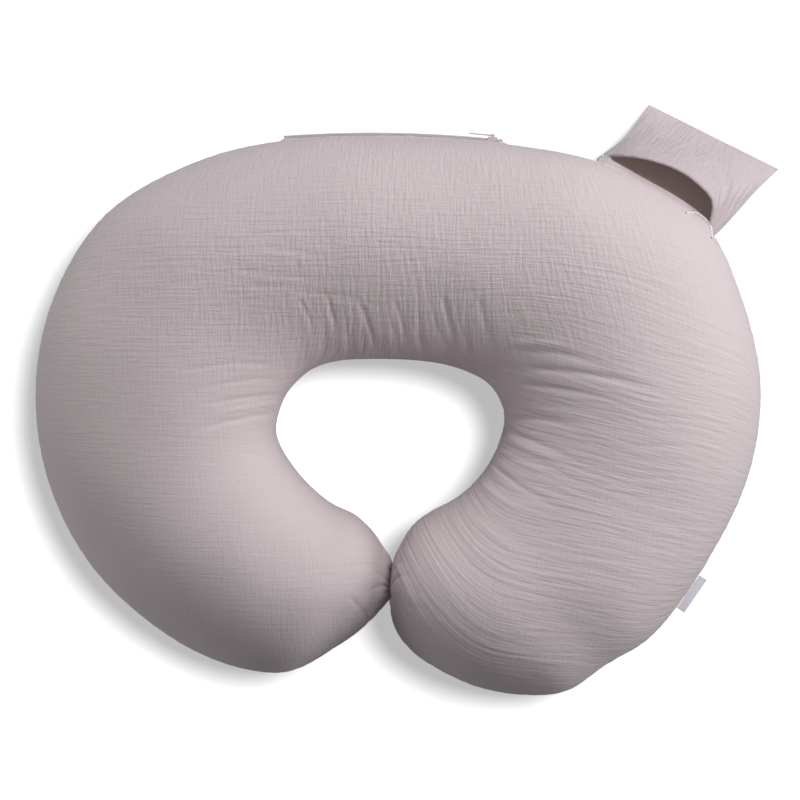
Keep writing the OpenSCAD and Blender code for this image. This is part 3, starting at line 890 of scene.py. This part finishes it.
def pocket_zip():
    """The two halves of the pocket's coil zip: one along the pillow's seam, one under the mouth's hem."""
    for name, path in zip(("pocket_coil_seam", "pocket_coil_curl"), seam_coil_path()):
        seam = tube(name, path, 0.8 * MM, ribs=len(path) // 6, rib_depth=0.12 * MM)
        dress(seam, COIL_WHITE)
        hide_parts("pocket_zip_coil_seam", "pocket_zip_tape_seam")
        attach(seam, "pillow")
    edge = np.array([(x, y, 0) for x, y in MOUTH_EDGE[:-2]])
    path = curve_through(edge, np.linspace(0.15, 1, 600))
    arch = np.interp(path[:, 0], [0, 15, 55, 95, 110], [2, 10, 20, 12, 3])
    path[:, 2] = POCKET_TOP + arch - 5
    path[:, 1] += 0.5
    mouth = tube("pocket_coil_mouth", beside_pocket(path), 0.8 * MM, ribs=110, rib_depth=0.12 * MM)
    dress(mouth, COIL_WHITE)
    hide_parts("pocket_zip_coil_mouth", "pocket_zip_tape_mouth")
    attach(mouth, "pocket")


pocket_front()
pocket_back()
pocket_flap()
pocket_gusset()
pocket_zip()


# ---------------------------------------------------------------- the label
LABEL_PIN = np.array(JOINTS["label_flex"]["pos_m"])
LABEL_ALONG = np.array(JOINTS["label_flex"]["axis"])
LABEL_OUT = np.cross(UP, LABEL_ALONG)
LABEL_HALF = 16.5
# The loop's section (mm): out from the seam, and up
LOOP = [
    (0.2, 0.45), (3, 0.45), (6, 0.4), (7.1, 0.3), (7.5, 0.0),
    (7.1, -0.3), (6, -0.4), (3, -0.45), (0.2, -0.45),
]


def label():
    """A folded loop of white satin tape sewn into the right arm's seam, blank."""
    run = np.linspace(-LABEL_HALF, LABEL_HALF, 60)[:, None]
    loop = curve_through(LOOP, np.linspace(0, 1, 33))
    out, rise = loop[:, 0], loop[:, 1]
    lift = rise + 0.35 * np.sin(run / 7) * smooth(out, 1, 7)
    points = LABEL_PIN + MM * (run[..., None] * LABEL_ALONG + out[:, None] * LABEL_OUT + lift[..., None] * UP)
    pattern = np.dstack([run + 0 * out, np.cumsum(np.ones_like(out)) * 0.5 + 0 * run]) * MM
    piece = grid_piece("label_loop", points, pattern)
    dress(piece, SATIN)
    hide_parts("brand_label")
    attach(piece, "label")


label()


# ---------------------------------------------------------------- studio
VIEW_WIDTH = 0.664
CAMERA_HEIGHT = 4.0
# Name, place (m) and power (W) of each soft box; all aim at the pillow and leave the floor alone
SOFT_BOXES = [
    ("key_right", (2.11, 0, 0.87), 23.0), ("key_corner", (1.13, 1.13, 1.69), 18.5),
    ("key_back", (0, 2.11, 0.87), 16.8), ("fill_left", (-2.2, 0, 0.57), 11.5),
]


def lamp(name, kind, place, aim, **settings):
    """A lamp at a place, turned towards its aim."""
    light = bpy.data.lights.new(name, kind)
    for key, value in settings.items():
        setattr(light, key, value)
    made = bpy.data.objects.new(name, light)
    made.location = place
    made.rotation_euler = (Vector(aim) - Vector(place)).to_track_quat("-Z", "Y").to_euler()
    bpy.context.scene.collection.objects.link(made)
    return made


def lights_only(light, piece, included):
    """Makes a lamp light only the piece, or everything but the piece."""
    group = bpy.data.collections.new(light.name + "_receivers")
    group.objects.link(piece)
    light.light_linking.receiver_collection = group
    group.collection_objects[0].light_linking.link_state = "INCLUDE" if included else "EXCLUDE"


def studio():
    """A bright paper floor, soft boxes mostly from the upper right, faint sky light and a camera
    overhead."""
    bpy.ops.mesh.primitive_plane_add(size=8, location=(0, 0, -0.2 * MM))
    floor = bpy.context.object
    floor.name = "studio_floor"
    paper, nodes, links, shader = material("studio_paper")
    shader.inputs["Base Color"].default_value = (0.5, 0.5, 0.5, 1)
    shader.inputs["Roughness"].default_value = 0.95
    shader.inputs["Specular IOR Level"].default_value = 0.0
    shader.inputs["Emission Color"].default_value = (1, 1, 1, 1)
    shader.inputs["Emission Strength"].default_value = 0.435
    floor.data.materials.append(paper)
    floor.visible_diffuse = False
    world = bpy.data.worlds.new("studio")
    bpy.context.scene.world = world
    world.use_nodes = True
    sky = world.node_tree.nodes["Background"]
    sky.inputs[0].default_value = (1.0, 1.0, 1.0, 1)
    sky.inputs[1].default_value = 0.13
    for name, place, energy in SOFT_BOXES:
        lights_only(lamp(name, "AREA", place, (0, 0, 0.1), size=1.1, energy=energy), floor, False)
    sweep = lamp("floor_light", "SUN", (0.25, 0.16, 1.0), (0, 0, 0), angle=0.27, energy=4.6)
    lights_only(sweep, floor, True)
    camera = bpy.data.cameras.new("camera")
    eye = bpy.data.objects.new("camera", camera)
    bpy.context.scene.collection.objects.link(eye)
    bpy.context.scene.camera = eye
    eye.location = (-5.8 * MM, -0.8 * MM, CAMERA_HEIGHT)
    camera.sensor_width = 36
    camera.lens = 36 * (CAMERA_HEIGHT - SEAM_Z) / VIEW_WIDTH
    bpy.context.scene.view_settings.view_transform = "Standard"


studio()
